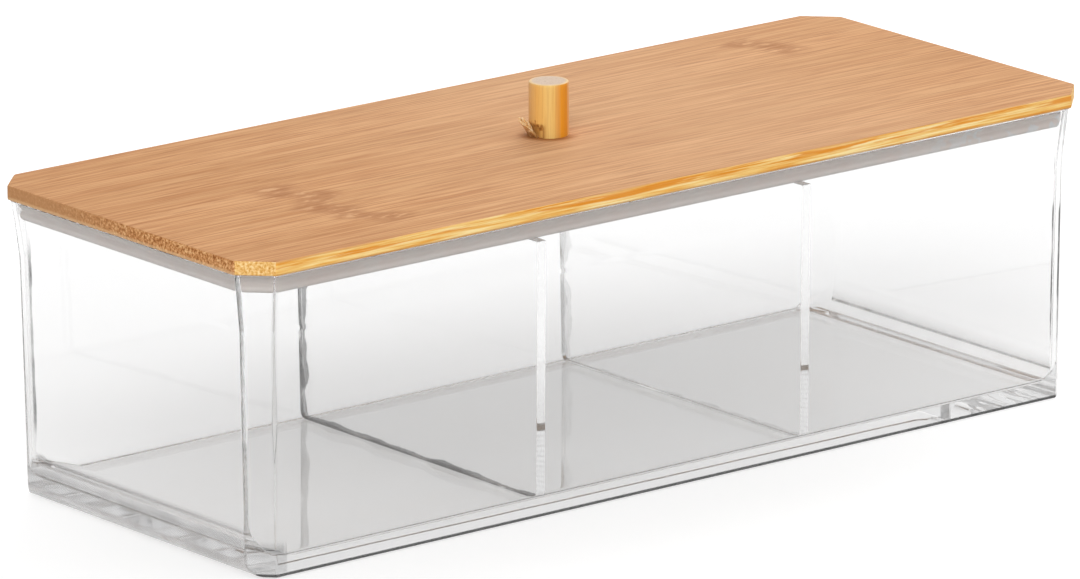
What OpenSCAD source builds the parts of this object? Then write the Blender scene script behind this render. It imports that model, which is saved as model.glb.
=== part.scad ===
// Vanity organizer: a clear moulded tray in three compartments, with a
// bamboo lid that lifts straight off by a short dowel knob.
// Millimetres, +Z up, +X along the long side.
// The origin is the centre of the face that the tray stands on.

/* [Tray] */
// Length of the tray at its foot, before the bottom edge is rounded
tray_l = 208.7; // [180:0.1:240]
// Width of the tray at its foot, before the bottom edge is rounded
tray_w = 80.3; // [66:0.1:100]
// Height from the foot to the rim
tray_h = 61.4; // [50:0.1:80]
// Leg of the slanting cut across each upright corner, at the foot
corner_cut = 4.4; // [4:0.1:12]
// Thickness of the side walls
wall_t = 1.9; // [1.4:0.1:2.6]
// Thickness of the floor
floor_t = 3.4; // [2:0.1:5]
// Radius that rounds the upright edges of tray and lid
edge_r = 0.8; // [0.3:0.1:1.5]
// Radius that rounds the upright edges inside the tray, and those of plug and seal
inner_edge_r = 0.5; // [0.3:0.1:4]
// Lean of the side walls, in degrees
draft = 1.04; // [0.5:0.01:2]
// Radius of the bottom edge outside, at the two ends
base_end_r = 3; // [1:0.1:4]
// Radius of the bottom edge outside, along the two sides and the cut corners
base_side_r = 0.8; // [0.3:0.1:4]
// Radius between the floor and the walls inside, at the two ends
inner_end_r = 6.8; // [3:0.1:9]
// Radius between the floor and the walls inside, along the two sides
inner_side_r = 1.2; // [0.6:0.1:1.4]
// Height of the belled zone below the rim
bell_h = 12.4; // [9:0.1:16]
// How far the bell leans out by the rim
bell_out = 1.2; // [0.6:0.1:1.6]
// Width of the bevels that ease the rim
rim_ease = 0.3; // [0.1:0.05:0.5]

/* [Dividers] */
// Distance between the middles of the two dividers
divider_pitch = 67.6; // [56:0.1:76]
// Thickness of a divider plate
divider_t = 2.3; // [1.6:0.1:3]
// Depth of a divider's top edge below the rim
divider_drop = 5; // [4.8:0.1:9]
// Radius of a divider's two bottom corners
divider_r = 1.5; // [1.3:0.1:8]

/* [Lid] */
// Thickness of the lid board
lid_t = 3; // [2.4:0.1:6]
// How far the lid board reaches past the rim
lid_overhang = 0.55; // [0.3:0.05:3]
// Width of the bevels that ease the lid board's edges
lid_ease = 0.3; // [0.1:0.05:0.6]
// Thickness of the plug under the lid board
plug_t = 4; // [3.6:0.1:4.7]

/* [Seal] */
// Width of the seal outside the plug
seal_w = 2.2; // [1.4:0.1:3]
// Gap between the seal and the tray wall, all round
seal_gap = 0.25; // [0.2:0.05:0.6]
// Depth of the hollow between the two lips of the seal
lip_depth = 0.5; // [0.2:0.1:0.9]
// Depth of the groove in the plug that holds the seal
groove_depth = 1.2; // [0.6:0.1:2]
// Height of the groove in the plug
groove_h = 1.6; // [1:0.1:2.4]

/* [Knob] */
// Diameter of the dowel knob
knob_d = 8.1; // [7:0.1:16]
// Height of the knob above the lid board
knob_h = 11; // [10:0.1:25]
// Width of the bevel round the knob's end
knob_ease = 0.35; // [0.1:0.05:0.8]

/* [Screw] */
// Diameter of the knob screw
screw_d = 3; // [2.4:0.1:3.6]
// Diameter of the screw's countersunk head
screw_head_d = 6; // [5:0.1:8]
// Depth of the screw in the knob
screw_reach = 8; // [5:0.1:9]
// Play round the screw in the lid board and the plug
screw_play = 0.4; // [0.2:0.1:0.6]

/* [Hidden] */
// Overrun of every cut past the solid that it opens
overrun = 1;
// Step of the rounded edges, in degrees
arc_step = 15;
// Most of a slanting corner face that the rounded edges beside it may take up
face_share = 0.9;
// Least leg of a slanting corner face
least_cut = 1.5;
// Lean of the bell at even steps from its foot to the rim
bell_shares = [0, 0.18, 0.42, 0.72, 1];
// Outline of the seal's outer face, as [share of its height, share of the hollow]
lip_shares = [[0, 0.7], [0.12, 0], [0.3, 0], [0.42, 1], [0.58, 1], [0.7, 0], [0.88, 0], [1, 0.7]];
slope = tan(draft);
bell_z = tray_h - bell_h;
bell_steps = len(bell_shares) - 1;
bell_table = [for (i = [0:bell_steps]) [bell_z + bell_h * i / bell_steps, bell_shares[i]]];
// How much the leg of a parallel slanting face grows as the outline grows
leg_slope = 2 - sqrt(2);
divider_top = tray_h - divider_drop;
lid_grow = side_grow(tray_h) + lid_overhang;
plug_z = tray_h - plug_t;
plug_grow = side_grow(plug_z) - wall_t - seal_gap - seal_w;
groove_z = plug_z + (plug_t - groove_h) / 2;
lid_top = tray_h + lid_t;
screw_head_h = (screw_head_d - screw_d) / 2;

// How far the outer wall lies outside the foot's outline at height z
function side_grow(z) = z * slope + bell_out * lookup(z, bell_table);

// A rounded edge of radius r that rises from height z, as [grow, height] pairs
function rounded(r, z, inset) =
    [for (a = [0:arc_step:90]) let (h = z + r * (1 - cos(a)))
        [side_grow(h) - inset - r * (1 - sin(a)), h]];

// The bell below the rim, set in by inset
function belled(inset) = [for (b = bell_table) [side_grow(b[0]) - inset, b[0]]];

// The tray's wall, from the foot up outside, over the rim and down inside
tray_profile = concat(
    coved(base_end_r, base_side_r, 0, 0, edge_r),
    edged(edge_r, concat(
        [for (p = belled(0)) if (p[1] < tray_h) p],
        [[side_grow(tray_h - rim_ease), tray_h - rim_ease],
         [side_grow(tray_h) - rim_ease, tray_h]])),
    edged(inner_edge_r, concat(
        [[side_grow(tray_h) - wall_t + rim_ease, tray_h],
         [side_grow(tray_h - rim_ease) - wall_t, tray_h - rim_ease]],
        [for (i = [1:bell_steps]) belled(wall_t)[bell_steps - i]])),
    reversed(coved(inner_end_r, inner_side_r, floor_t, wall_t, inner_edge_r)));

board_profile = edged(edge_r, [
    [lid_grow - lid_ease, tray_h], [lid_grow, tray_h + lid_ease],
    [lid_grow, lid_top - lid_ease], [lid_grow - lid_ease, lid_top]]);

plug_profile = edged(inner_edge_r, [
    [plug_grow, plug_z], [plug_grow, groove_z],
    [plug_grow - groove_depth, groove_z], [plug_grow - groove_depth, groove_z + groove_h],
    [plug_grow, groove_z + groove_h], [plug_grow, tray_h]]);

seal_profile = concat(
    edged(inner_edge_r, [for (s = lip_shares) let (h = plug_z + plug_t * s[0])
        [side_grow(h) - wall_t - seal_gap - lip_depth * s[1], h]]),
    reversed(plug_profile));

function reversed(list) = [for (i = [1:len(list)]) list[len(list) - i]];

// Rings of a profile of [grow, height] pairs whose upright edges all have radius r
function edged(r, profile) = [for (p = profile) [p[0], p[0], p[1], r]];

// How far a rounded foot of radius r stands in from the wall at height h above its face
function cove(r, h) = r - sqrt(r * r - pow(max(0, r - h), 2));

// Heights that follow a small radius up and go on up a larger one
function cove_heights(low_r, high_r) = concat(
    [for (a = [0:arc_step:90]) low_r * (1 - cos(a))],
    [for (a = [0:arc_step:90]) if (high_r * (1 - cos(a)) > 1.1 * low_r) high_r * (1 - cos(a))]);

// Rings of a rounded foot that rises from height z, with one radius at the ends and one at the sides
function coved(end_r, side_r, z, inset, r) =
    [for (h = cove_heights(side_r, end_r)) let (g = side_grow(z + h) - inset)
        [g - cove(end_r, h), g - cove(side_r, h), z + h, r]];

// Leg of the slanting faces where the ends are grown by gx and the sides by gy
function cut_leg(gx, gy) = max(least_cut, corner_cut + leg_slope * gy + gx - gy);

// Centre of corner i's arc, counted from the +X end, on an outline whose ends are
// grown by gx and sides by gy, with slanting faces of that leg
function corner(i, gx, gy, leg) =
    let (l = tray_l / 2 + gx, w = tray_w / 2 + gy,
         p = (i + 1) % 4 < 2 ? [l, w - leg] : [l - leg, w])
    [i > 1 && i < 6 ? -p[0] : p[0], i > 3 ? -p[1] : p[1]];

// Outline of the tray at height h, its ends grown by gx and its sides by gy, with its
// eight corners rounded by radius r, or by less where the slanting faces are too narrow
function outline(gx, gy, h, r) =
    let (leg = cut_leg(gx, gy), e = min(r, face_share * leg / leg_slope))
    [for (i = [0:7]) for (a = [0:arc_step:45])
        let (c = corner(i, gx - e, gy - e, leg - leg_slope * e))
            [c[0] + e * cos(45 * i + a), c[1] + e * sin(45 * i + a), h]];

// Skin over rings of [grow at the ends, grow at the sides, height, radius], closed
// by its two end rings, or back on itself where it is a loop
module lofted(profile, loop = false) {
    rings = [for (p = profile) outline(p[0], p[1], p[2], p[3])];
    n = len(rings[0]);
    m = len(rings);
    sides = [for (j = [0:m - (loop ? 1 : 2)]) for (i = [0:n - 1])
        [j * n + i, (j + 1) % m * n + i, (j + 1) % m * n + (i + 1) % n, j * n + (i + 1) % n]];
    ends = loop ? [] : [[for (i = [0:n - 1]) i], [for (i = [1:n]) m * n - i]];
    polyhedron(points = [for (r = rings) for (p = r) p], faces = concat(sides, ends));
}

module divider_plate(x) {
    rise = concat(rounded(divider_r, floor_t, wall_t),
                  [[divider_top * slope - wall_t, divider_top]]);
    n = len(rise);
    translate([x, 0, 0])
        rotate([90, 0, 90])
            linear_extrude(height = divider_t, center = true)
                polygon(concat(
                    [for (p = rise) [tray_w / 2 + p[0], p[1]]],
                    [for (i = [1:n]) [-tray_w / 2 - rise[n - i][0], rise[n - i][1]]]));
}

module tray() {
    color([0.90, 0.92, 0.93, 0.4])
        lofted(tray_profile);
}

module divider_left() {
    color([0.86, 0.89, 0.90, 0.45]) divider_plate(-divider_pitch / 2);
}

module divider_right() {
    color([0.86, 0.89, 0.90, 0.45]) divider_plate(divider_pitch / 2);
}

module lid_board() {
    color([0.80, 0.60, 0.44])
        difference() {
            lofted(board_profile);
            translate([0, 0, tray_h - overrun])
                cylinder(d = screw_d + screw_play, h = lid_t + 2 * overrun, $fn = 48);
        }
}

module lid_plug() {
    color([0.78, 0.60, 0.42])
        difference() {
            lofted(plug_profile);
            translate([0, 0, plug_z - overrun])
                cylinder(d = screw_d + screw_play, h = plug_t + 2 * overrun, $fn = 48);
            screw_head();
            translate([0, 0, plug_z - overrun])
                cylinder(d = screw_head_d, h = overrun, $fn = 48);
        }
}

module seal_ring() {
    color([0.72, 0.71, 0.69, 0.8])
        lofted(seal_profile, loop = true);
}

module knob() {
    bore_r = screw_d / 2;
    color([0.93, 0.73, 0.42])
        translate([0, 0, lid_top])
            rotate_extrude($fn = 96)
                polygon([
                    [bore_r, 0], [knob_d / 2, 0], [knob_d / 2, knob_h - knob_ease],
                    [knob_d / 2 - knob_ease, knob_h], [0, knob_h],
                    [0, screw_reach], [bore_r, screw_reach]]);
}

module screw_head() {
    translate([0, 0, plug_z])
        cylinder(d1 = screw_head_d, d2 = screw_d, h = screw_head_h, $fn = 48);
}

module knob_screw() {
    color([0.70, 0.71, 0.73])
        union() {
            screw_head();
            translate([0, 0, plug_z])
                cylinder(d = screw_d, h = plug_t + lid_t + screw_reach, $fn = 48);
        }
}

tray();
divider_left();
divider_right();
lid_board();
lid_plug();
seal_ring();
knob();
knob_screw();
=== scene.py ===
import math

import bmesh
import bpy
from mathutils import Matrix, Vector


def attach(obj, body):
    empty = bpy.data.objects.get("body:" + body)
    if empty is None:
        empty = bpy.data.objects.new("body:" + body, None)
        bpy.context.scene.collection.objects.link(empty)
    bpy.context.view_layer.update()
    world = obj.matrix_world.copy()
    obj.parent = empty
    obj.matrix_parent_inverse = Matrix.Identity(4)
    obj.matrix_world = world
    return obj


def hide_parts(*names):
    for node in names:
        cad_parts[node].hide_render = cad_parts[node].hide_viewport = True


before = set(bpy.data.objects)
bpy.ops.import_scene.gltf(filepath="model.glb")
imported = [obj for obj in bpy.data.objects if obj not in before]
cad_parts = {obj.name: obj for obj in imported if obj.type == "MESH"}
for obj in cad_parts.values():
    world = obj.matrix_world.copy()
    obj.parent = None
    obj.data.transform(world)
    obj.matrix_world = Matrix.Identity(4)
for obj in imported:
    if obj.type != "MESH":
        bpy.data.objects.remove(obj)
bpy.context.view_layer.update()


# ---- Tray ----
# The box itself: clear hard plastic, injection moulded in one shot.
# Its walls lean outwards so that it leaves the mould, bell out under the rim
# to take the lid's seal, and run into the floor with rounded edges.

MM = 0.001
WALL = 1.9 * MM
FLOOR = 3.4 * MM
RIM_Z = 61.4 * MM
RIM_EASE = 0.3 * MM
RIM_DISH = 0.01 * MM
HALF_LENGTH = 104.35 * MM
HALF_WIDTH = 40.15 * MM
CORNER_LEG = 4.4 * MM
CORNER_LEG_GROWTH = 2 - math.sqrt(2)
CORNER_R = 0.8 * MM
INNER_EDGE_R = 0.5 * MM
LEAST_LEG = 1.5 * MM
FACE_SHARE = 0.9
FOOT_END_R = 3 * MM
FOOT_SIDE_R = 0.3 * MM
END_R = 6.8 * MM
SIDE_R = 1.2 * MM
LEAN = math.tan(math.radians(1.04))
BELL_Z = 49 * MM
BELL_OUT = 1.2 * MM
BELL_CURVE = 1.22
BELL_RINGS = 12
TURNS = [math.radians(degrees) for degrees in range(0, 91, 9)]
# A bevel of one edge of the eight-sided outline reaches this far along its faces, for a radius of 1.
EDGE_REACH = math.tan(math.radians(22.5))


def lean(z):
    """How far the wall's outer face stands out from its foot at height z."""
    bell = max(0, (z - BELL_Z) / (RIM_Z - BELL_Z))
    return z * LEAN + BELL_OUT * bell ** BELL_CURVE


def choose(*pieces):
    """Selects these pieces and no others, and works on the last one."""
    bpy.ops.object.select_all(action="DESELECT")
    for piece in pieces:
        piece.select_set(True)
    bpy.context.view_layer.objects.active = pieces[-1]


def edit(piece, mode="FACE"):
    """Opens one piece in edit mode, with nothing on it selected."""
    choose(piece)
    bpy.ops.object.mode_set(mode="EDIT")
    bpy.ops.mesh.select_mode(type=mode)
    bpy.ops.mesh.select_all(action="DESELECT")


def pick(piece, kind, test):
    """Selects the faces, edges or verts of a piece in edit mode that pass a test, and no others."""
    bpy.ops.mesh.select_mode(type={"faces": "FACE", "edges": "EDGE", "verts": "VERT"}[kind])
    bpy.ops.mesh.select_all(action="DESELECT")
    form = bmesh.from_edit_mesh(piece.data)
    for part in getattr(form, kind):
        if test(part):
            part.select_set(True)
    form.select_flush_mode()
    bmesh.update_edit_mesh(piece.data)


def finish_mesh(piece, smooth_angle=35):
    """Leaves edit mode, rounds the shading over the eased edges and keeps the flat faces flat."""
    bpy.ops.mesh.select_all(action="SELECT")
    bpy.ops.mesh.normals_make_consistent(inside=False)
    bpy.ops.object.mode_set(mode="OBJECT")
    bpy.ops.object.transform_apply(location=True, rotation=True, scale=True)
    bpy.ops.object.shade_smooth_by_angle(angle=math.radians(smooth_angle))
    piece.modifiers.new("flat faces", "WEIGHTED_NORMAL").keep_sharp = True
    bpy.ops.object.modifier_apply(modifier="flat faces")


def eight_sided(name, half_length, half_width, corner_leg, z):
    """A flat sheet with its four corners cut off, lying at height z and left in edit mode."""
    bpy.ops.mesh.primitive_plane_add(size=2, location=(0, 0, z))
    sheet = bpy.context.object
    sheet.name = sheet.data.name = name
    sheet.scale = (half_length, half_width, 1)
    bpy.ops.object.transform_apply(location=True, rotation=True, scale=True)
    edit(sheet, "VERT")
    bpy.ops.mesh.select_all(action="SELECT")
    bpy.ops.mesh.bevel(offset=corner_leg, offset_type="OFFSET", affect="VERTICES", segments=1,
                       clamp_overlap=False)
    return sheet


def lofted(name, profile, segments, closed=False):
    """A skin over the tray's outline, ring by ring. A profile lists how far each ring stands out from the
    foot at the ends and at the sides, its height and the radius of its upright edges. The first and the last
    ring are filled, or joined if closed."""
    skin = None
    for at_ends, at_sides, z, radius in profile:
        leg = max(LEAST_LEG, CORNER_LEG + at_sides * CORNER_LEG_GROWTH + at_ends - at_sides)
        ring = eight_sided(name, HALF_LENGTH + at_ends, HALF_WIDTH + at_sides, leg, z)
        radius = min(radius, FACE_SHARE * leg / CORNER_LEG_GROWTH)
        bpy.ops.mesh.select_all(action="SELECT")
        bpy.ops.mesh.bevel(offset=radius * EDGE_REACH, offset_type="OFFSET", affect="VERTICES",
                           segments=segments, profile=0.5, clamp_overlap=False)
        bpy.ops.mesh.select_all(action="SELECT")
        bpy.ops.mesh.delete(type="ONLY_FACE")
        bpy.ops.object.mode_set(mode="OBJECT")
        count = len(ring.data.vertices)
        if skin is None:
            skin = ring
            continue
        choose(ring, skin)
        bpy.ops.object.join()
        last_two = len(skin.data.vertices) - 2 * count
        edit(skin)
        pick(skin, "edges", lambda e: all(v.index >= last_two for v in e.verts))
        bpy.ops.mesh.bridge_edge_loops()
        bpy.ops.object.mode_set(mode="OBJECT")
    last = len(skin.data.vertices) - count
    edit(skin)
    ends = [lambda e: all(v.index < count for v in e.verts),
            lambda e: all(v.index >= last for v in e.verts)]
    if closed:
        pick(skin, "edges", lambda e: any(end(e) for end in ends))
        bpy.ops.mesh.bridge_edge_loops()
    else:
        for end in ends:
            pick(skin, "edges", end)
            bpy.ops.mesh.edge_face_add()
    return skin


bell_heights = [BELL_Z + (RIM_Z - RIM_EASE - BELL_Z) * i / BELL_RINGS for i in range(BELL_RINGS + 1)]


def cove(radius, rise):
    """How far a rounded foot of some radius stands in from the wall at a height above its face."""
    return radius - math.sqrt(radius ** 2 - max(0, radius - rise) ** 2)


def cove_heights(side_radius, end_radius):
    """Heights that follow a small round at the sides and go on up a larger one at the ends."""
    low, high = ([radius * (1 - math.cos(a)) for a in TURNS] for radius in (side_radius, end_radius))
    return low + [rise for rise in high if rise > side_radius * 1.1]


profile = [(lean(z) - cove(FOOT_END_R, z), lean(z) - cove(FOOT_SIDE_R, z), z, CORNER_R)
           for z in cove_heights(FOOT_SIDE_R, FOOT_END_R)]
profile += [(lean(z), lean(z), z, CORNER_R) for z in bell_heights]
profile += [(*[lean(RIM_Z) - RIM_EASE] * 2, RIM_Z, CORNER_R)]
profile += [(*[lean(RIM_Z) - WALL + RIM_EASE] * 2, RIM_Z - RIM_DISH, INNER_EDGE_R)]
profile += [(*[lean(z) - WALL] * 2, z, INNER_EDGE_R) for z in reversed(bell_heights)]
profile += [(lean(FLOOR + h) - WALL - cove(END_R, h), lean(FLOOR + h) - WALL - cove(SIDE_R, h), FLOOR + h,
             INNER_EDGE_R) for h in reversed(cove_heights(SIDE_R, END_R))]
tray = lofted("tray_shell", profile, 6)
finish_mesh(tray)


class Socket:
    """One socket of a material. Arithmetic on it adds Math nodes, and add() puts in any other node."""

    def __init__(self, tree, socket=None):
        self.tree, self.socket = tree, socket

    def add(self, kind, settings=None, inputs=None, output=0):
        node = self.tree.nodes.new("ShaderNode" + kind)
        for name, value in (settings or {}).items():
            if name == "stops":
                stops = node.color_ramp.elements
                while len(stops) < len(value):
                    stops.new(0.5)
                for stop, (place, shade) in zip(stops, value):
                    stop.position = place
                    stop.color = shade
            else:
                setattr(node, name, value)
        for name, value in (inputs or {}).items():
            if isinstance(value, Socket):
                self.tree.links.new(value.socket, node.inputs[name])
            else:
                node.inputs[name].default_value = value
        return Socket(self.tree, node.outputs[output] if len(node.outputs) else None)

    def math(self, operation, *values):
        return self.add("Math", {"operation": operation}, dict(enumerate(values)))

    def __add__(self, other):
        return self.math("ADD", self, other)

    def __sub__(self, other):
        return self.math("SUBTRACT", self, other)

    def __rsub__(self, other):
        return self.math("SUBTRACT", other, self)

    def __mul__(self, other):
        return self.math("MULTIPLY", self, other)

    def __truediv__(self, other):
        return self.math("DIVIDE", self, other)

    def __gt__(self, other):
        return self.math("GREATER_THAN", self, other)

    def __lt__(self, other):
        return self.math("LESS_THAN", self, other)

    def __abs__(self):
        return self.math("ABSOLUTE", self)

    def most(self, other):
        """The larger of two values."""
        return self.math("MAXIMUM", self, other)

    __radd__, __rmul__ = __add__, __mul__

    def out(self, name):
        """Another output of the same node."""
        return Socket(self.tree, self.socket.node.outputs[name])

    def blend(self, first, second):
        """The first colour where this socket is 0, and the second where it is 1."""
        return self.add("Mix", {"data_type": "RGBA"}, {0: self, 6: first, 7: second}, output=2)

    def ramp(self, *stops):
        """Colours laid along this socket's value, from (place, colour) pairs."""
        return self.add("ValToRGB", {"stops": stops}, {"Fac": self})

    def between(self, low, high):
        """0 below low, 1 above high, and smooth between them."""
        return self.add("MapRange", {"interpolation_type": "SMOOTHSTEP"},
                        {"Value": self, "From Min": low, "From Max": high})

    def below(self, low, high):
        """1 below low, 0 above high, and smooth between them."""
        return 1 - self.between(low, high)


def material(name):
    """An empty material, as a Socket that its nodes are added through."""
    finish = bpy.data.materials.new(name)
    finish.use_nodes = True
    finish.node_tree.nodes.clear()
    return Socket(finish.node_tree), finish


def paint(*chart):
    """A colour as a painter reads it off a chart, red, green and blue from 0 to 255, in the linear form that
    shaders take."""
    return (*((c / 255 / 12.92 if c < 11 else ((c / 255 + 0.055) / 1.055) ** 2.4) for c in chart), 1)


def clear_plastic(name, tint, marks, marked_tint, haze, hazy, shadow):
    """Clear glossy plastic, with some places marked and others hazy. Lamps shine through it, so that it
    throws only a pale shadow."""
    top, finish = material(name)
    place = top.add("TexCoord", output="Object")
    scuffs = top.add("TexNoise", inputs={"Vector": place, "Scale": 140, "Detail": 6, "Roughness": 0.7})
    colour = marks(top, place).blend(tint, marked_tint)
    rough = 0.01 + scuffs.between(0.55, 0.75) * 0.02
    flow = top.add("TexNoise", inputs={"Vector": place, "Scale": 45, "Detail": 1})
    bump = top.add("Bump", inputs={"Strength": 0.03, "Distance": 0.2 * MM, "Height": flow})
    clear, clouded = (top.add("BsdfPrincipled", inputs={
        "Base Color": colour, "Roughness": rough, "IOR": 1.5, "Transmission Weight": 1 - lost,
        "Normal": bump}) for lost in (0, haze))
    body = top.add("MixShader", inputs={0: hazy(top, place), 1: clear, 2: clouded})
    through = top.add("BsdfTransparent", inputs={"Color": shadow})
    rays = top.add("LightPath", output="Is Shadow Ray")
    mixed = top.add("MixShader", inputs={0: rays, 1: body, 2: through})
    top.add("OutputMaterial", inputs={"Surface": mixed})
    return finish


def mottling(top, place):
    """Slow cloudy patches, from 0 to 1, that mottle the painted shade in the tray."""
    return top.add("TexNoise", inputs={"Vector": place, "Scale": 110, "Detail": 3}).between(0.35, 0.65)


SKIN = 1 * MM
CREASE_INSIDE_X = HALF_LENGTH - CORNER_LEG - WALL + WALL * CORNER_LEG_GROWTH
CREASE_STEP = WALL - WALL * CORNER_LEG_GROWTH
CREASE_HALF = (0.25 * MM, 0.45 * MM)
CREASE_WAVER = 0.3 * MM
CREASE_LEAN = 0.4 * LEAN
CREASE_DEPTH = WALL + 0.6 * MM
CREASE_LOW, CREASE_HIGH = (9 * MM, 14 * MM), (46 * MM, 54 * MM)
CREASE_OUTSIDE_LOW = (3 * MM, 5 * MM)


def painted_crease_shade(x, front, height, mottle):
    """The wavering dark lines painted as shade where front and rear wall meet a slanted corner, at the front
    right and the rear left. They are fainter on the outer face, and the inner ones end below the bell."""
    depth = HALF_WIDTH - abs(front) + height * LEAN
    outside = depth < SKIN
    upright = CREASE_INSIDE_X + outside * CREASE_STEP + height * CREASE_LEAN
    line = abs(abs(x) - upright + (mottle - 0.5) * CREASE_WAVER).below(*CREASE_HALF)
    line = line * (x * front > 0) * (depth < CREASE_DEPTH) * (0.65 + mottle * 0.35)
    inside = height.between(*CREASE_LOW) * height.below(*CREASE_HIGH)
    return line * inside.most(outside * height.between(*CREASE_OUTSIDE_LOW) * 0.6)


UNDER_SKIN = (0.02 * MM, 0.2 * MM)
UNDER_LEFT_X = (-60 * MM, -20 * MM)
MIDDLE_X = (-1 * MM, 1 * MM)
MOTTLED_TO = (FLOOR + 2 * MM, FLOOR + 4 * MM)
GREY_FROM, GREY_TO = (FLOOR + 0.6 * MM, FLOOR + 1.6 * MM), (FLOOR + 4 * MM, FLOOR + 6.5 * MM)
GREY_ENDS_Y = (30 * MM, 35 * MM)
GREY_OUTER_X = HALF_LENGTH - 0.5 * MM
FOOT_LINE_TOP = (0.6 * MM, 0.85 * MM)
FOOT_LINE_Y = HALF_WIDTH - 0.8 * MM
FOOT_LINE_CORNER = HALF_LENGTH + HALF_WIDTH - CORNER_LEG - 1.5 * MM
FOOT_LINE_END_X = HALF_LENGTH - 1.5 * MM


def painted_shade_places(top, place):
    """The places where painted shade darkens the clear plastic: the underside, greying the floor seen through
    it; mottled patches over the ends of the floor, where the plastic is thickest; the round inside the left
    end; the creases at two corners; and a dark line along the front foot."""
    axes = top.add("SeparateXYZ", inputs={0: place})
    x, front, height = axes, 0 - axes.out("Y"), axes.out("Z")
    reach = abs(x)
    mottle = mottling(top, place)
    # Painted shade: the underside is tinted so that the floor seen through it looks grey, as in the lid's
    # shade, least at the far left.
    under = height.below(*UNDER_SKIN) * (0.06 + x.between(*UNDER_LEFT_X) * 0.11)
    # Painted shade, mottled, over the ends of the floor; the right end gets only a little of it.
    ends = (reach > HALF_LENGTH - END_R) * height.below(*MOTTLED_TO) * (0.55 + mottle * 0.45)
    ends = ends * (1 - x.between(*MIDDLE_X) * 0.85) * 0.5
    # Painted shade on the round inside the left end, mottled.
    left_cove_shade = height.between(*GREY_FROM) * height.below(*GREY_TO) * abs(front).below(*GREY_ENDS_Y)
    left_cove_shade = left_cove_shade * (reach > HALF_LENGTH - WALL - END_R) * (reach < GREY_OUTER_X) * (x < 0)
    # Painted shade: a dark line along the front foot and its two slanted corners, where the tray meets the
    # ground.
    side = (front > FOOT_LINE_Y).most(reach + front > FOOT_LINE_CORNER)
    foot = height.below(*FOOT_LINE_TOP) * side * (reach < FOOT_LINE_END_X)
    painted_shade_so_far = under.most(painted_crease_shade(x, front, height, mottle)).most(ends)
    return painted_shade_so_far.most(left_cove_shade * (0.38 + mottle * 0.14)).most(foot)


CLOUDY_X = (-60 * MM, -30 * MM)
CLOUDIER_Y = (-30 * MM, 20 * MM)


def cloudy_places(top, place):
    """The left end, most at the rear, where the plastic went in last and came out a little cloudy."""
    x = top.add("SeparateXYZ", inputs={0: place})
    return x.below(*CLOUDY_X) * (0.45 + x.out("Y").between(*CLOUDIER_Y) * 0.55)


LAMP_SHADOW = (0.965, 0.965, 0.965, 1)

# The tray's painted shade darkens the plastic towards this near-black tint.
clear_shell = clear_plastic("clear moulded plastic", paint(252, 252, 252), painted_shade_places, paint(30, 30, 30),
                            haze=0.005, hazy=cloudy_places, shadow=LAMP_SHADOW)
tray.data.materials.append(clear_shell)
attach(tray, "tray_body")
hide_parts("tray")


# ---- Dividers ----
# Two clear plates across the tray, cut from sheet to the shape of its inside
# and cemented in. Their bottom corners are rounded to pass the tray's fillets.

DIVIDER_X = 33.8 * MM
DIVIDER_T = 2.3 * MM
DIVIDER_TOP = 56.4 * MM
DIVIDER_R = 1.5 * MM
DIVIDER_GAP = 0.03 * MM
DIVIDER_EASE = 0.18 * MM

divider_low = FLOOR + DIVIDER_GAP
divider_half = HALF_WIDTH - WALL - DIVIDER_GAP
foot_half = divider_half + divider_low * LEAN
top_half = divider_half + DIVIDER_TOP * LEAN
CEMENT_REAR = (divider_half - 0.1 * MM, divider_half + 0.2 * MM)
CEMENT_FOOT = (0, 0.25 * MM)
CEMENT_WAVE, CEMENT_FOOT_WAVE = 7 * MM, 2.4 * MM


def cement(top, place):
    """Where cement shows on a plate's faces: in ragged lines up the rear edge and along the foot, and fainter
    on the right plate."""
    x = top.add("SeparateXYZ", inputs={0: place})
    y, height = x.out("Y"), x.out("Z")
    runs = top.add("TexNoise", inputs={"Vector": place, "Scale": 130, "Detail": 4}) - 0.32
    rear = (y - height * LEAN + runs * CEMENT_WAVE).between(*CEMENT_REAR)
    foot = (height - divider_low - runs * CEMENT_FOOT_WAVE).below(*CEMENT_FOOT)
    on_face = abs(abs(x) - DIVIDER_X) > DIVIDER_T / 2 - DIVIDER_EASE * 0.5
    return rear.most(foot) * on_face * (1 - x.between(*MIDDLE_X) * 0.65)


clear_sheet = clear_plastic("clear sheet plastic", paint(253, 253, 253), cement, paint(84, 84, 84),
                            haze=0.001, hazy=cement, shadow=LAMP_SHADOW)


def cut_divider(name, x, node):
    """One plate: a cuboid, widened to the walls' lean, its bottom corners rounded and its arrises eased."""
    bpy.ops.mesh.primitive_cube_add(size=1, location=(x, 0, (divider_low + DIVIDER_TOP) / 2))
    plate = bpy.context.object
    plate.name = plate.data.name = name
    plate.scale = (DIVIDER_T, 2 * foot_half, DIVIDER_TOP - divider_low)
    bpy.ops.object.transform_apply(location=True, rotation=True, scale=True)
    edit(plate)
    pick(plate, "faces", lambda f: f.normal.z > 0.9)
    bpy.ops.transform.resize(value=(1, top_half / foot_half, 1))
    pick(plate, "edges", lambda e: all(v.co.z < divider_low + 0.1 * MM for v in e.verts)
         and abs(e.verts[0].co.x - e.verts[1].co.x) > 1 * MM)
    bpy.ops.mesh.bevel(offset=DIVIDER_R, offset_type="OFFSET", affect="EDGES", segments=9,
                       clamp_overlap=False)
    pick(plate, "edges", lambda e: len(e.link_faces) == 2
         and e.link_faces[0].normal.angle(e.link_faces[1].normal) > math.radians(60))
    bpy.ops.mesh.bevel(offset=DIVIDER_EASE, offset_type="OFFSET", affect="EDGES", segments=2,
                       clamp_overlap=False)
    finish_mesh(plate)
    plate.data.materials.append(clear_sheet)
    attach(plate, "tray_body")
    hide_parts(node)


cut_divider("divider_plate_left", -DIVIDER_X, "divider_left")
cut_divider("divider_plate_right", DIVIDER_X, "divider_right")


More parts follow.
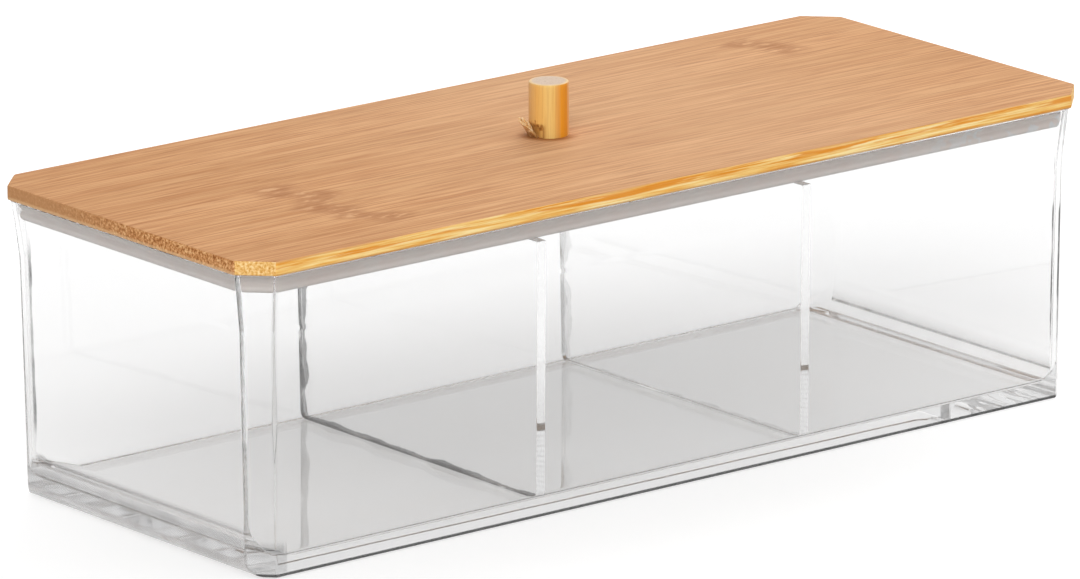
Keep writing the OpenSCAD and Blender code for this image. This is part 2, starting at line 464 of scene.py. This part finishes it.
# ---- Lid board ----
# A pressed bamboo board, three thin plies with the grain along the length, sawn
# to the tray's outline with slanted corners, sanded, and left without varnish.

BOARD_T = 3 * MM
BOARD_HALF_LENGTH = 107.215 * MM
BOARD_HALF_WIDTH = 43.015 * MM
BOARD_LEG = 6.078 * MM
BOARD_EASE = 0.3 * MM
board_top = RIM_Z + BOARD_T

board = eight_sided("bamboo_board", BOARD_HALF_LENGTH, BOARD_HALF_WIDTH, BOARD_LEG, RIM_Z)
bpy.ops.mesh.select_all(action="SELECT")
bpy.ops.mesh.extrude_region_move(TRANSFORM_OT_translate={"value": (0, 0, BOARD_T)})
pick(board, "edges", lambda e: abs(e.verts[0].co.z - e.verts[1].co.z) > 1 * MM)
bpy.ops.mesh.bevel(offset=CORNER_R * EDGE_REACH, offset_type="OFFSET", affect="EDGES", segments=4,
                   profile=0.5, clamp_overlap=False)
pick(board, "edges", lambda e: abs(e.verts[0].co.z - e.verts[1].co.z) < 0.01 * MM)
bpy.ops.mesh.bevel(offset=BOARD_EASE, offset_type="OFFSET", affect="EDGES", segments=3, profile=0.5,
                   clamp_overlap=False)
finish_mesh(board)


def grain(top, place, along, across, depth, seed, detail=4):
    """Noise drawn out along the bamboo's fibres: each number is how fast it changes per millimetre."""
    stretched = top.add("Mapping", inputs={
        "Vector": place, "Location": (seed, seed * 0.7, seed * 1.3),
        "Scale": (along / MM, across / MM, depth / MM)})
    return top.add("TexNoise", inputs={"Vector": stretched, "Scale": 1, "Detail": detail, "Roughness": 0.55})


# The stem's nodes that show on the face: where each crosses the board, and from where to where across it.
FACE_NODES = ((-67 * MM, -36 * MM, 6 * MM), (79 * MM, 17 * MM, 38 * MM))
NODE_HALF = 7 * MM
NODE_FADE = 5 * MM
NODE_WANDER = 18 * MM
PAINTED_LIGHT_FROM, PAINTED_LIGHT_TO = (-80 * MM, 30 * MM), (40 * MM, 100 * MM)
GLUE_AND_SHADOW_RING = 7 * MM
KNOB_SHADOW_SIDE = (-2 * MM, 5 * MM)
EDGE_FOOT_SHADE, END_FOOT = (RIM_Z + 0.2 * MM, RIM_Z + 0.6 * MM), (RIM_Z + 0.4 * MM, RIM_Z + 0.9 * MM)
SMOOTHER_END_Y = (-14 * MM, 26 * MM)
EDGE_SKIN, CUT_SKIN, FACE_SKIN = 0.22 * MM, 0.3 * MM, 0.12 * MM


def bamboo_board(name):
    """The board's finish: sanded faces with fine fibres and two nodes, a yellow sawn edge in plies, and
    speckled end grain. Painted light lies across the face, and painted shade round the knob's foot and along
    the foot of the sawn edge."""
    top, finish = material(name)
    place = top.add("TexCoord", output="Object")
    axes = top.add("SeparateXYZ", inputs={0: place})
    x, y, z = axes, axes.out("Y"), axes.out("Z")

    tone = grain(top, place, 0.006, 0.09, 0.1, 3).between(0.3, 0.7)
    bands = grain(top, place, 0.01, 0.4, 0.3, 11, 2).between(0.35, 0.65)
    fibres = grain(top, place, 0.03, 1.5, 1.5, 5, 5)
    dashes = grain(top, place, 0.08, 2.2, 2, 23, 3).between(0.52, 0.7)
    face = tone.blend(paint(203, 153, 107), paint(220, 168, 121))
    face = (bands * 0.6).blend(face, paint(226, 176, 129))
    face = (fibres.between(0.38, 0.62) * 0.8).blend(face, paint(192, 135, 91))
    face = (dashes * 0.5).blend(face, paint(160, 102, 64))
    # Painted light: the face is paler from the left towards the middle right, and a little less so at the far
    # right.
    painted_light = x.between(*PAINTED_LIGHT_FROM) * (1 - x.between(*PAINTED_LIGHT_TO) * 0.7)
    face = (painted_light * 0.22).blend(face, paint(232, 196, 162))
    smudges = grain(top, place, 0.22, 0.7, 1, 53, 3)
    wander = (grain(top, place, 0.02, 0.12, 1, 59, 1) - 0.5) * NODE_WANDER
    for across_x, low, high in FACE_NODES:
        near = abs(x - across_x + wander).below(NODE_HALF * 0.2, NODE_HALF)
        near = near * y.between(low, low + NODE_FADE) * y.below(high - NODE_FADE, high)
        face = (near * 0.3).blend(face, paint(184, 130, 90))
        face = (near * smudges.between(0.3, 0.66) * 0.5).blend(face, paint(162, 106, 68))
        face = (near * smudges.below(0.32, 0.46) * 0.45).blend(face, paint(234, 189, 146))
    # A dark brown ring round the knob's foot, heaviest towards the front left: partly a glue stain, partly
    # the knob's painted shadow.
    glue_and_shadow = (x * x + y * y).below((GLUE_AND_SHADOW_RING * 0.6) ** 2, GLUE_AND_SHADOW_RING ** 2)
    face = (glue_and_shadow * (0 - x - y).between(*KNOB_SHADOW_SIDE) * 0.85).blend(face, paint(146, 88, 32))

    plies = grain(top, place, 0.06, 0.3, 2.2, 31, 5)
    slant = (z - RIM_Z) / MM + grain(top, place, 0.03, 0.01, 0.01, 41, 2) * 2.4 - 1.2
    edge = plies.ramp((0.32, paint(228, 148, 52)), (0.43, paint(238, 182, 96)),
                      (0.52, paint(246, 206, 130)), (0.64, paint(252, 228, 168)))
    lenses = grain(top, place, 0.05, 0.01, 1.1, 37, 5)
    orange = slant.between(1.3, 1.7) * slant.below(2.4, 2.9) * lenses.between(0.42, 0.52)
    edge = (orange * 0.85).blend(edge, paint(226, 140, 40))
    edge = (slant.between(2.7, 3.0) * 0.7).blend(edge, paint(214, 154, 98))
    # Painted shade along the foot of the sawn edge, where it turns under.
    edge = (z.below(*EDGE_FOOT_SHADE) * 0.6).blend(edge, paint(190, 132, 84))

    specks = top.add("TexNoise", inputs={"Vector": place, "Scale": 1.7 / MM, "Detail": 3, "Roughness": 0.7})
    ends = specks.ramp((0.36, paint(142, 84, 42)), (0.46, paint(190, 126, 74)),
                       (0.56, paint(212, 156, 102)), (0.64, paint(240, 196, 142)))
    ends = (y.between(*SMOOTHER_END_Y) * 0.85).blend(ends, paint(189, 138, 94))
    ends = (z.below(*END_FOOT) * 0.6).blend(ends, paint(232, 192, 146))
    cuts = specks.ramp((0.34, paint(206, 140, 58)), (0.48, paint(236, 184, 106)),
                       (0.62, paint(250, 218, 160)))

    reach = abs(x) + abs(y)
    is_edge = abs(y) > BOARD_HALF_WIDTH - EDGE_SKIN
    is_end = abs(x) > BOARD_HALF_LENGTH - EDGE_SKIN
    is_cut = reach > BOARD_HALF_LENGTH + BOARD_HALF_WIDTH - BOARD_LEG - CUT_SKIN
    is_face = abs(z - RIM_Z - BOARD_T / 2) > BOARD_T / 2 - FACE_SKIN
    colour = is_cut.blend(face, cuts)
    colour = is_edge.blend(colour, edge)
    colour = is_end.blend(colour, ends)
    colour = is_face.blend(colour, face)

    height = fibres * 0.6 - dashes * 0.5 + specks * 0.2
    bump = top.add("Bump", inputs={"Strength": 0.25, "Distance": 0.12 * MM, "Height": height})
    rough = 0.52 + fibres * 0.16
    body = top.add("BsdfPrincipled", inputs={
        "Base Color": colour, "Roughness": rough, "Specular IOR Level": 0.06, "Normal": bump})
    top.add("OutputMaterial", inputs={"Surface": body})
    return finish


board.data.materials.append(bamboo_board("sanded bamboo board"))
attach(board, "lid_body")
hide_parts("lid_board")


# ---- Lid plug ----
# A second, smaller board of the same bamboo under the lid board. It drops into
# the tray's mouth and carries the seal in a groove round its edge.

PLUG_Z = 57.4 * MM


def bamboo_plug(name):
    """Plainer bamboo than the lid's face: sanded less, a little duller, with the same fibres."""
    top, finish = material(name)
    place = top.add("TexCoord", output="Object")
    tone = grain(top, place, 0.01, 0.12, 0.6, 61).between(0.3, 0.7)
    fibres = grain(top, place, 0.05, 2.2, 2.2, 67, 5)
    dashes = grain(top, place, 0.14, 3, 3, 71, 3).between(0.58, 0.72)
    colour = tone.blend(paint(206, 164, 116), paint(218, 180, 132))
    colour = (fibres.between(0.35, 0.7) * 0.6).blend(colour, paint(188, 142, 96))
    colour = (dashes * 0.5).blend(colour, paint(158, 108, 70))
    bump = top.add("Bump", inputs={"Strength": 0.3, "Distance": 0.12 * MM, "Height": fibres - dashes * 0.5})
    body = top.add("BsdfPrincipled", inputs={
        "Base Color": colour, "Roughness": 0.56 + fibres * 0.16, "Normal": bump})
    top.add("OutputMaterial", inputs={"Surface": body})
    return finish


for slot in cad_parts["lid_plug"].material_slots:
    slot.material = bamboo_plug("sanded bamboo plug")


# ---- Seal ----
# A translucent silicone band stretched round the plug. A rib on its back sits in
# the plug's groove, and the two lips on its outside close against the tray's wall.

SEAL_GAP = 0.25 * MM
SEAL_W = 2.2 * MM
LIP_DEPTH = 0.5 * MM
LIP_SPREAD = 0.25
LIP_PLACES = (0.21, 0.79)
GROOVE_DEPTH = 1.2 * MM
RIB_TAPER = 0.05 * MM
GROOVE_LOW, GROOVE_HIGH = 58.6 * MM, 60.2 * MM
SEAL_STEPS = 20
PAINTED_GLINTS_X = (48 * MM, 85 * MM)

seal_profile = []
for step in range(SEAL_STEPS + 1):
    share = step / SEAL_STEPS
    z = PLUG_Z + (RIM_Z - PLUG_Z) * share
    hollow = min(1, min(abs(share - lip) for lip in LIP_PLACES) ** 2 / LIP_SPREAD ** 2)
    seal_profile.append((lean(z) - WALL - SEAL_GAP - LIP_DEPTH * hollow, z))
seal_back = lean(PLUG_Z) - WALL - SEAL_GAP - SEAL_W
seal_profile += [
    (seal_back, RIM_Z), (seal_back, GROOVE_HIGH), (seal_back - GROOVE_DEPTH, GROOVE_HIGH - RIB_TAPER),
    (seal_back - GROOVE_DEPTH, GROOVE_LOW + RIB_TAPER), (seal_back, GROOVE_LOW), (seal_back, PLUG_Z)]
seal = lofted("seal_band", [(reach, reach, z, INNER_EDGE_R) for reach, z in seal_profile], 6, closed=True)
finish_mesh(seal, 50)

top, silicone = material("translucent silicone")
place = top.add("TexCoord", output="Object")
cloud = top.add("TexNoise", inputs={"Vector": place, "Scale": 180, "Detail": 3})
flecks = top.add("TexNoise", inputs={"Vector": place, "Scale": 900, "Detail": 2}).between(0.66, 0.74)
colour = cloud.between(0.3, 0.7).blend(paint(254, 240, 232), paint(255, 246, 239))
x = top.add("SeparateXYZ", inputs={0: place})
# Painted glints: near-white specks on the right part of the band, standing in for highlights.
painted_glints = top.add("TexNoise", inputs={"Vector": place, "Scale": 420, "Detail": 2}).between(0.5, 0.6)
colour = (painted_glints * x.between(*PAINTED_GLINTS_X)).blend(colour, paint(255, 254, 253))
colour = (flecks * 0.6).blend(colour, paint(250, 248, 246))
dust = top.add("Bump", inputs={"Strength": 0.2, "Distance": 0.1 * MM, "Height": cloud})
body = top.add("BsdfPrincipled", inputs={
    "Base Color": colour, "Roughness": 0.38 + flecks * 0.2, "IOR": 1.41, "Transmission Weight": 0.05,
    "Normal": dust})
top.add("OutputMaterial", inputs={"Surface": body})
seal.data.materials.append(silicone)
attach(seal, "lid_body")
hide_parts("seal_ring")


# ---- Knob ----
# A short length of bamboo dowel, sawn square and barely eased, standing on the
# middle of the board. A few fibres have torn loose at its foot.

KNOB_R = 4.05 * MM
KNOB_H = 11 * MM
KNOB_EASE = 0.35 * MM
BORE_R = 1.5 * MM
BORE_DEPTH = 8 * MM
TEAR_AZIMUTH = math.radians(187)
TEAR_SPREAD = math.radians(24)
TEAR_HEIGHT = 3.2 * MM
TEAR_RAGGED = 0.22
TEAR_WAVES = (23, 11)
TEAR_DEPTH_SHARE = 0.13
KNOB_CUTS = 14
END_SKIN = 0.12 * MM
# The way to the dowel's side painted in shade, level with the ground.
SHADED_SIDE_X, SHADED_SIDE_Y = 0.786, -0.619

bpy.ops.mesh.primitive_cylinder_add(vertices=96, radius=KNOB_R, depth=KNOB_H,
                                    location=(0, 0, board_top + KNOB_H / 2))
knob = bpy.context.object
knob.name = knob.data.name = "dowel_knob"
bpy.ops.object.transform_apply(location=True, rotation=True, scale=True)
edit(knob)
pick(knob, "faces", lambda f: f.normal.z < -0.9)
bpy.ops.mesh.inset(thickness=KNOB_R - BORE_R, depth=0)
bpy.ops.mesh.extrude_region_move(TRANSFORM_OT_translate={"value": (0, 0, BORE_DEPTH)})
pick(knob, "edges", lambda e: all(v.co.z > board_top + KNOB_H - 0.01 * MM for v in e.verts))
bpy.ops.mesh.bevel(offset=KNOB_EASE, offset_type="OFFSET", affect="EDGES", segments=3, clamp_overlap=False)
pick(knob, "edges", lambda e: abs(e.verts[0].co.z - e.verts[1].co.z) > BORE_DEPTH + 1 * MM)
bpy.ops.mesh.subdivide(number_cuts=KNOB_CUTS)


def torn(point):
    """Whether a point of the knob lies in the ragged patch where fibres have come away."""
    off = math.remainder(math.atan2(point.y, point.x) - TEAR_AZIMUTH, 2 * math.pi)
    wave = math.sin(off * TEAR_WAVES[0] + 1) * math.cos(off * TEAR_WAVES[1])
    ragged = 1 - TEAR_RAGGED + TEAR_RAGGED * wave
    return (abs(off) < TEAR_SPREAD and point.z < board_top + TEAR_HEIGHT * ragged
            and point.xy.length > KNOB_R - 0.1 * MM)


pick(knob, "verts", lambda v: torn(v.co))
bpy.ops.transform.resize(value=(1 - TEAR_DEPTH_SHARE, 1 - TEAR_DEPTH_SHARE, 1), center_override=(0, 0, 0))
finish_mesh(knob)


def bamboo_dowel(name):
    """Yellow outer bamboo with the grain upright, painted with light on one side and shade on the other, and
    a pale sawn end.
    """
    top, finish = material(name)
    place = top.add("TexCoord", output="Object")
    axes = top.add("SeparateXYZ", inputs={0: place})
    x, y, z = axes, axes.out("Y"), axes.out("Z")
    streaks = grain(top, place, 0.9, 0.9, 0.03, 83, 3)
    fine = grain(top, place, 3.6, 3.6, 0.09, 89, 4)
    # Painted light and shade across the dowel: a pale lit band on one side, deep orange shade on the other.
    turned = (x * SHADED_SIDE_X + y * SHADED_SIDE_Y) / KNOB_R * 0.5 + 0.5 + (streaks - 0.5) * 0.12
    side = turned.ramp((0.04, paint(234, 186, 116)), (0.2, paint(246, 194, 108)),
                       (0.33, paint(246, 198, 112)), (0.46, paint(250, 214, 132)),
                       (0.64, paint(246, 204, 118)), (0.72, paint(234, 172, 86)),
                       (0.79, paint(240, 160, 28)), (0.93, paint(234, 150, 14)),
                       (0.98, paint(240, 184, 122)))
    side = (fine.between(0.4, 0.7) * 0.3).blend(side, paint(206, 140, 62))
    facing = (x * math.cos(TEAR_AZIMUTH) + y * math.sin(TEAR_AZIMUTH)) / KNOB_R
    low = (z - board_top).below(TEAR_HEIGHT * 0.6, TEAR_HEIGHT)
    side = (facing.between(0.78, 0.9) * low * 0.8).blend(side, paint(150, 92, 34))
    pores = top.add("TexNoise", inputs={"Vector": place, "Scale": 3.2 / MM, "Detail": 2}).between(0.45, 0.7)
    end = (pores * 0.6).blend(paint(216, 192, 170), paint(190, 160, 132))
    rim = (x * x + y * y).between((KNOB_R * 0.78) ** 2, (KNOB_R * 0.93) ** 2)
    end = (rim * 0.8).blend(end, paint(240, 206, 148))
    colour = (z > board_top + KNOB_H - END_SKIN).blend(side, end)
    bump = top.add("Bump", inputs={"Strength": 0.3, "Distance": 0.1 * MM, "Height": fine + pores * 0.4})
    body = top.add("BsdfPrincipled", inputs={
        "Base Color": colour, "Roughness": 0.42 + fine * 0.2, "Normal": bump})
    top.add("OutputMaterial", inputs={"Surface": body})
    return finish


dowel_finish = bamboo_dowel("bamboo dowel")
knob.data.materials.append(dowel_finish)
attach(knob, "lid_body")
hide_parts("knob")

FIBRE_L = 3.9 * MM
FIBRE_T = 0.75 * MM
FIBRE_RINGS = 6
FIBRE_OUT, FIBRE_DROP = 1.9 * MM, 0.5 * MM
FIBRE_TAPER = (0.4, 0.5)
FIBRE_SEAT = 0.25 * MM
FIBRE_SHADE_LOW = (0.4 * MM, 2.4 * MM)
TUFT_AZIMUTH = math.radians(158)
# Each torn fibre: degrees round the knob from the tuft's middle, size, and lean.
FIBRES = ((-30, 0.6, 0.8), (-22, 0.8, 1.0), (-15, 0.95, 0.7), (-9, 1.05, 1.15), (-4, 0.9, 0.8),
          (1, 1.1, 1.0), (6, 0.95, 1.3), (12, 1.0, 0.75), (18, 0.8, 1.1), (24, 0.65, 0.9), (31, 0.5, 1.05))

bpy.ops.mesh.primitive_cube_add(size=1, location=(KNOB_R, 0, FIBRE_L / 2))
fibre = bpy.context.object
fibre.scale = (FIBRE_T, 2 * FIBRE_T, FIBRE_L)
bpy.ops.object.transform_apply(location=True, rotation=True, scale=True)
edit(fibre)
pick(fibre, "edges", lambda e: abs(e.verts[0].co.z - e.verts[1].co.z) > 1 * MM)
bpy.ops.mesh.subdivide(number_cuts=FIBRE_RINGS - 1)
for ring in range(1, FIBRE_RINGS + 1):
    share = ring / FIBRE_RINGS
    pick(fibre, "verts", lambda v: abs(v.co.z - share * FIBRE_L) < 0.1 * MM)
    bpy.ops.transform.resize(value=(*(1 - taper * share ** 2 for taper in FIBRE_TAPER), 1))
    bpy.ops.transform.translate(value=(FIBRE_OUT * share ** 1.2, 0, -FIBRE_DROP * share ** 3))
finish_mesh(fibre, 60)

tuft = []
for degrees, size, tilt in FIBRES:
    strand = fibre.copy()
    strand.data = fibre.data.copy()
    bpy.context.scene.collection.objects.link(strand)
    strand.data.transform(Matrix.Translation((KNOB_R - FIBRE_SEAT, 0, 0))
                          @ Matrix.Diagonal((tilt, size, size, 1)) @ Matrix.Translation((-KNOB_R, 0, 0)))
    strand.data.transform(Matrix.Translation((0, 0, board_top))
                          @ Matrix.Rotation(TUFT_AZIMUTH + math.radians(degrees), 4, "Z"))
    tuft.append(strand)
bpy.data.objects.remove(fibre)
splinters = tuft[0]
choose(*reversed(tuft))
bpy.ops.object.join()
splinters.name = splinters.data.name = "torn_fibres"

top, torn_finish = material("torn bamboo fibre")
place = top.add("TexCoord", output="Object")
height = top.add("SeparateXYZ", inputs={0: place}, output="Z")
strands = grain(top, place, 3, 3, 0.3, 97, 3)
colour = strands.ramp((0.35, paint(206, 150, 84)), (0.5, paint(238, 200, 142)), (0.65, paint(252, 234, 200)))
# Painted shade: the fibres darken towards their feet, near the board.
colour = ((height - board_top).below(*FIBRE_SHADE_LOW) * 0.7).blend(colour, paint(168, 112, 44))
body = top.add("BsdfPrincipled", inputs={"Base Color": colour, "Roughness": 0.7})
top.add("OutputMaterial", inputs={"Surface": body})
splinters.data.materials.append(torn_finish)
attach(splinters, "lid_body")


# ---- Knob screw ----
# A zinc-plated countersunk screw driven up from below through plug and board
# into the dowel. Only its head with the cross recess shows, when the lid is off.

SCREW_HEAD_R = 3 * MM
# Each step of the screw from its head up: the radius it reaches, and how far up that is.
SCREW_STEPS = ((3 * MM, 0.15 * MM), (1.5 * MM, 1.5 * MM), (1.5 * MM, 12.6 * MM), (0.4 * MM, 0.75 * MM))
RECESS_T = 0.7 * MM
RECESS_ARM = 1.15 * MM
RECESS_DEPTH = 1.3 * MM
RECESS_TAPER = 0.4

bpy.ops.mesh.primitive_circle_add(vertices=64, radius=SCREW_HEAD_R, fill_type="NGON",
                                  location=(0, 0, PLUG_Z))
screw = bpy.context.object
screw.name = screw.data.name = "countersunk_screw"
bpy.ops.object.transform_apply(location=True, rotation=True, scale=True)
edit(screw)
bpy.ops.mesh.select_all(action="SELECT")
radius = SCREW_HEAD_R
for new_radius, rise in SCREW_STEPS:
    bpy.ops.mesh.extrude_region_move(TRANSFORM_OT_translate={"value": (0, 0, rise)})
    bpy.ops.transform.resize(value=(new_radius / radius, new_radius / radius, 1))
    radius = new_radius
bpy.ops.mesh.select_all(action="SELECT")
bpy.ops.mesh.normals_make_consistent(inside=False)
bpy.ops.object.mode_set(mode="OBJECT")


def cut_away(piece, cutter):
    """Cuts one solid out of another and throws the cutter away."""
    choose(piece)
    cut = piece.modifiers.new("cut", "BOOLEAN")
    cut.operation, cut.solver, cut.object = "DIFFERENCE", "EXACT", cutter
    bpy.ops.object.modifier_apply(modifier="cut")
    bpy.data.objects.remove(cutter)


bpy.ops.mesh.primitive_cube_add(size=1, location=(0, 0, PLUG_Z))
cross = bpy.context.object
cross.scale = (RECESS_T, RECESS_T, 2 * RECESS_DEPTH)
bpy.ops.object.transform_apply(location=True, rotation=True, scale=True)
edit(cross)
for direction in (Vector((1, 0, 0)), Vector((0, 1, 0)), Vector((-1, 0, 0)), Vector((0, -1, 0))):
    pick(cross, "faces", lambda f: f.normal.dot(direction) > 0.9
         and f.calc_center_median().xy.length < RECESS_T)
    bpy.ops.mesh.extrude_region_move(TRANSFORM_OT_translate={"value": direction * RECESS_ARM})
pick(cross, "verts", lambda v: v.co.z > PLUG_Z)
bpy.ops.transform.resize(value=(RECESS_TAPER, RECESS_TAPER, 1))
bpy.ops.mesh.select_all(action="SELECT")
bpy.ops.mesh.normals_make_consistent(inside=False)
bpy.ops.object.mode_set(mode="OBJECT")
cut_away(screw, cross)
edit(screw)
finish_mesh(screw, 40)

top, zinc = material("bright zinc")
place = top.add("TexCoord", output="Object")
patches = top.add("TexNoise", inputs={"Vector": place, "Scale": 900, "Detail": 4})
colour = patches.between(0.35, 0.7).blend(paint(196, 198, 202), paint(178, 182, 190))
body = top.add("BsdfPrincipled", inputs={
    "Base Color": colour, "Metallic": 1.0, "Roughness": 0.22 + patches * 0.2})
top.add("OutputMaterial", inputs={"Surface": body})
screw.data.materials.append(zinc)
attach(screw, "lid_body")
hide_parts("knob_screw")


# ---- Studio ----
# Not part of the object: a white sweep to stand it on, a pale surround, soft lamps
# and the camera at the photograph's viewing angle.

SWEEP_SIZE = 8
SWEEP_DROP = 0.2 * MM
bpy.ops.mesh.primitive_plane_add(size=SWEEP_SIZE, location=(0, 0, -SWEEP_DROP))
sweep = bpy.context.object
sweep.name = sweep.data.name = "studio_sweep"


def seen_white(top):
    """1 for what the camera sees, straight on, mirrored or through the plastic, and 0 for light that falls
    on things."""
    rays = top.add("LightPath", output="Is Camera Ray")
    seen = rays.most(rays.out("Is Glossy Ray")).most(rays.out("Is Transmission Ray"))
    return seen * (rays.out("Diffuse Depth") < 0.5)


# The sweep looks white to the camera, less so through the plastic, and stays white far behind the object.
SWEEP_GLOW = 0.36
GLOW_LOST = 0.3
FAR_GLOW = 0.7
FAR_FROM = (0.45, 1.2)
SWEEP_PAINT = (0.8, 0.8, 0.8, 1)
top, sweep_finish = material("white sweep")
matt = top.add("BsdfDiffuse", inputs={"Color": SWEEP_PAINT})
rays = top.add("LightPath", output="Is Camera Ray")
near_glow = seen_white(top) * SWEEP_GLOW * (1 - rays.out("Is Transmission Ray") * GLOW_LOST)
away = top.add("VectorMath", {"operation": "LENGTH"}, {0: top.add("TexCoord", output="Object")}).out("Value")
glow = top.add("Emission", inputs={"Strength": near_glow + rays * away.between(*FAR_FROM) * FAR_GLOW})
both = top.add("AddShader", inputs={0: matt, 1: glow})
top.add("OutputMaterial", inputs={"Surface": both})
sweep.data.materials.append(sweep_finish)

AMBIENT = 0.5
OVERHEAD_RISE = (0.35, 0.9)
OVERHEAD_DIM = 0.5
surround = bpy.data.worlds.new("studio")
surround.use_nodes = True
surround.node_tree.nodes.clear()
bpy.context.scene.world = surround
top = Socket(surround.node_tree)
towards = top.add("TexCoord", output="Generated")
rise = top.add("SeparateXYZ", inputs={0: towards}, output="Z")
rays = top.add("LightPath", output="Is Camera Ray")
dim = rise.between(*OVERHEAD_RISE) * (1 - rays) * OVERHEAD_DIM
ambient = top.add("Background", inputs={"Strength": AMBIENT})
white = top.add("Background", inputs={"Strength": 1 - dim})
seen = top.add("MixShader", inputs={0: seen_white(top), 1: ambient, 2: white})
top.add("OutputWorld", inputs={"Surface": seen})

OBJECT_MIDDLE = Vector((0, 0, 30 * MM))


def lamp(name, place, size, watts):
    """A square softbox aimed at the middle of the object. It lights things, but the plastic neither mirrors
    it nor shows it."""
    light = bpy.data.lights.new(name, "AREA")
    light.size, light.energy = size, watts
    box = bpy.data.objects.new(name, light)
    box.visible_glossy = box.visible_transmission = False
    bpy.context.scene.collection.objects.link(box)
    aim = OBJECT_MIDDLE - Vector(place)
    box.matrix_world = Matrix.Translation(place) @ aim.to_track_quat("-Z", "Y").to_matrix().to_4x4()


lamp("softbox_left", (-0.75, -0.65, 0.85), 0.9, 9)
lamp("softbox_right", (0.8, -0.7, 0.7), 0.9, 3.5)
lamp("softbox_rear", (0.65, 0.5, 0.65), 0.7, 5)

AZIMUTH, ELEVATION, ROLL = -38.4328, 15.3266, 0.3674
DISTANCE = 2.338
AIM_RIGHT, AIM_UP = -0.002002, 0.032053
FOCAL_PIXELS = 11631.5
PHOTO_WIDTH = 1080

lens = bpy.data.cameras.new("camera")
lens.sensor_width = 36
lens.lens = lens.sensor_width * FOCAL_PIXELS / PHOTO_WIDTH
lens.clip_end = 20
camera = bpy.data.objects.new("camera", lens)
bpy.context.scene.collection.objects.link(camera)
turn = (Matrix.Rotation(math.radians(AZIMUTH), 4, "Z")
        @ Matrix.Rotation(math.radians(90 - ELEVATION), 4, "X"))
aim = turn.col[0].to_3d() * AIM_RIGHT + Vector((0, 0, AIM_UP))
camera.matrix_world = (Matrix.Translation(aim + turn.col[2].to_3d() * DISTANCE)
                       @ turn @ Matrix.Rotation(math.radians(-ROLL), 4, "Z"))
bpy.context.scene.camera = camera
bpy.context.scene.view_settings.view_transform = "Standard"
# Light guided inside the walls and plates is turned back many times before it comes out at an edge.
BOUNCES = 160
passes = bpy.context.scene.cycles
passes.max_bounces = passes.transmission_bounces = passes.glossy_bounces = BOUNCES
passes.transparent_max_bounces = 32
